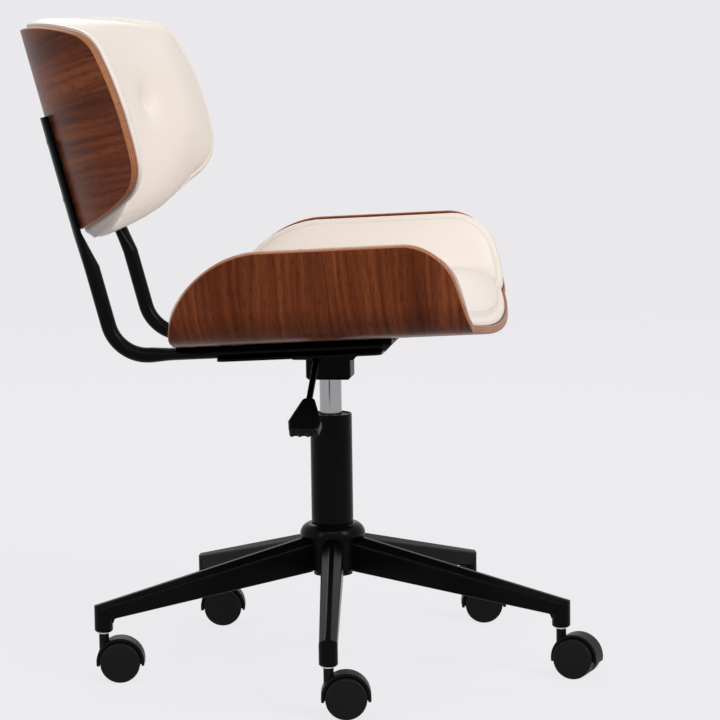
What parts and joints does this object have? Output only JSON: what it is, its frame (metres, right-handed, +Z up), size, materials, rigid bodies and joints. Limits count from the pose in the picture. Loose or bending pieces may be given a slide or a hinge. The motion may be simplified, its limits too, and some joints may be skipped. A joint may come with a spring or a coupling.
{
  "type": "swivel chair",
  "caption": "Height-adjustable swivel desk chair with a winged bent-ply seat, a wrapped ply back, cream pads, and a black castered star base.",
  "frame": {"origin": "on the floor under the swivel axis", "axes": "+X the way the sitter faces, +Y the sitter's left, +Z up"},
  "size_m": [0.73, 0.6097, 0.8254],
  "materials": {
    "black_paint": "satin",
    "black_steel": "satin",
    "bright_steel": "satin",
    "polished_chrome": "gloss",
    "charcoal_plastic": "matte",
    "black_plastic": "matte",
    "black_rubber": "matte",
    "walnut_ply": "satin",
    "cream_leather": "satin"
  },
  "bodies": {
    "base": {"base_hub": "black_paint", "hub_collar": "black_paint", "base_leg_1": "black_paint", "base_leg_2": "black_paint", "base_leg_3": "black_paint", "base_leg_4": "black_paint", "base_leg_5": "black_paint", "caster_sockets": "bright_steel", "column_tube": "black_paint", "guide_bush": "black_plastic", "thrust_bearing": "bright_steel"},
    "rod": {"piston_rod": "bright_steel", "piston_head": "black_plastic", "rod_bumper": "black_rubber", "rod_clip": "bright_steel"},
    "seat": {"gas_cylinder": "polished_chrome", "cylinder_receiver": "black_paint", "seat_plate": "black_paint", "lever_bracket": "black_paint", "lever_pin": "bright_steel", "seat_shell": "walnut_ply", "seat_cushion": "cream_leather", "back_shell": "walnut_ply", "back_cushion": "cream_leather", "back_tube_left": "black_paint", "back_tube_right": "black_paint", "tube_plugs": "black_plastic", "seat_bolts": "black_steel", "seat_tee_nuts": "bright_steel", "back_bolts": "black_steel", "back_tee_nuts": "bright_steel"},
    "lever": {"lever_rod": "black_steel", "lever_paddle": "black_plastic"},
    "button": {"release_button": "bright_steel"},
    "caster_1": {"caster_1_hood": "charcoal_plastic", "caster_1_stem": "bright_steel", "caster_1_axle": "bright_steel"},
    "wheel_1_left": {"caster_1_wheel_left": "charcoal_plastic"},
    "wheel_1_right": {"caster_1_wheel_right": "charcoal_plastic"},
    "caster_2": {"caster_2_hood": "charcoal_plastic", "caster_2_stem": "bright_steel", "caster_2_axle": "bright_steel"},
    "wheel_2_left": {"caster_2_wheel_left": "charcoal_plastic"},
    "wheel_2_right": {"caster_2_wheel_right": "charcoal_plastic"},
    "caster_3": {"caster_3_hood": "charcoal_plastic", "caster_3_stem": "bright_steel", "caster_3_axle": "bright_steel"},
    "wheel_3_left": {"caster_3_wheel_left": "charcoal_plastic"},
    "wheel_3_right": {"caster_3_wheel_right": "charcoal_plastic"},
    "caster_4": {"caster_4_hood": "charcoal_plastic", "caster_4_stem": "bright_steel", "caster_4_axle": "bright_steel"},
    "wheel_4_left": {"caster_4_wheel_left": "charcoal_plastic"},
    "wheel_4_right": {"caster_4_wheel_right": "charcoal_plastic"},
    "caster_5": {"caster_5_hood": "charcoal_plastic", "caster_5_stem": "bright_steel", "caster_5_axle": "bright_steel"},
    "wheel_5_left": {"caster_5_wheel_left": "charcoal_plastic"},
    "wheel_5_right": {"caster_5_wheel_right": "charcoal_plastic"}
  },
  "joints": [
    {"name": "swivel", "type": "hinge", "parent": "base", "child": "rod", "pos_m": [0, 0, 0.125], "axis": [0, 0, 1], "continuous": true},
    {"name": "gas_lift", "type": "slide", "parent": "rod", "child": "seat", "axis": [0, 0, 1], "range_m": [0, 0.08]},
    {"name": "height_lever", "type": "hinge", "parent": "seat", "child": "lever", "pos_m": [-0.007, -0.04, 0.409], "axis": [-1, 0, 0], "range_deg": [0, 6], "stiffness_Nm_per_rad": 0.5},
    {"name": "release_press", "type": "slide", "parent": "seat", "child": "button", "axis": [0, 0, -1], "range_m": [0, 0.0045]},
    {"name": "caster_1_swivel", "type": "hinge", "parent": "base", "child": "caster_1", "pos_m": [0.03668, -0.29876, 0.07], "axis": [0, 0, 1], "continuous": true},
    {"name": "wheel_1_left_roll", "type": "hinge", "parent": "caster_1", "child": "wheel_1_left", "pos_m": [0.05696, -0.29576, 0.025], "axis": [-0.1461, 0.9893, 0], "continuous": true},
    {"name": "wheel_1_right_roll", "type": "hinge", "parent": "caster_1", "child": "wheel_1_right", "pos_m": [0.05696, -0.29576, 0.025], "axis": [-0.1461, 0.9893, 0], "continuous": true},
    {"name": "caster_2_swivel", "type": "hinge", "parent": "base", "child": "caster_2", "pos_m": [0.29547, -0.05743, 0.07], "axis": [0, 0, 1], "continuous": true},
    {"name": "wheel_2_left_roll", "type": "hinge", "parent": "caster_2", "child": "wheel_2_left", "pos_m": [0.31527, -0.06274, 0.025], "axis": [0.2588, 0.9659, 0], "continuous": true},
    {"name": "wheel_2_right_roll", "type": "hinge", "parent": "caster_2", "child": "wheel_2_right", "pos_m": [0.31527, -0.06274, 0.025], "axis": [0.2588, 0.9659, 0], "continuous": true},
    {"name": "caster_3_swivel", "type": "hinge", "parent": "base", "child": "caster_3", "pos_m": [0.14593, 0.26326, 0.07], "axis": [0, 0, 1], "continuous": true},
    {"name": "wheel_3_left_roll", "type": "hinge", "parent": "caster_3", "child": "wheel_3_left", "pos_m": [0.16621, 0.26626, 0.025], "axis": [-0.1461, 0.9893, 0], "continuous": true},
    {"name": "wheel_3_right_roll", "type": "hinge", "parent": "caster_3", "child": "wheel_3_right", "pos_m": [0.16621, 0.26626, 0.025], "axis": [-0.1461, 0.9893, 0], "continuous": true},
    {"name": "caster_4_swivel", "type": "hinge", "parent": "base", "child": "caster_4", "pos_m": [-0.20528, 0.22014, 0.07], "axis": [0, 0, 1], "continuous": true},
    {"name": "wheel_4_left_roll", "type": "hinge", "parent": "caster_4", "child": "wheel_4_left", "pos_m": [-0.185, 0.22313, 0.025], "axis": [-0.1461, 0.9893, 0], "continuous": true},
    {"name": "wheel_4_right_roll", "type": "hinge", "parent": "caster_4", "child": "wheel_4_right", "pos_m": [-0.185, 0.22313, 0.025], "axis": [-0.1461, 0.9893, 0], "continuous": true},
    {"name": "caster_5_swivel", "type": "hinge", "parent": "base", "child": "caster_5", "pos_m": [-0.2728, -0.12721, 0.07], "axis": [0, 0, 1], "continuous": true},
    {"name": "wheel_5_left_roll", "type": "hinge", "parent": "caster_5", "child": "wheel_5_left", "pos_m": [-0.25252, -0.12421, 0.025], "axis": [-0.1461, 0.9893, 0], "continuous": true},
    {"name": "wheel_5_right_roll", "type": "hinge", "parent": "caster_5", "child": "wheel_5_right", "pos_m": [-0.25252, -0.12421, 0.025], "axis": [-0.1461, 0.9893, 0], "continuous": true}
  ],
  "couplings": [
    {"joint": "release_press", "follows": "height_lever", "m_per_rad": 0.04}
  ]
}
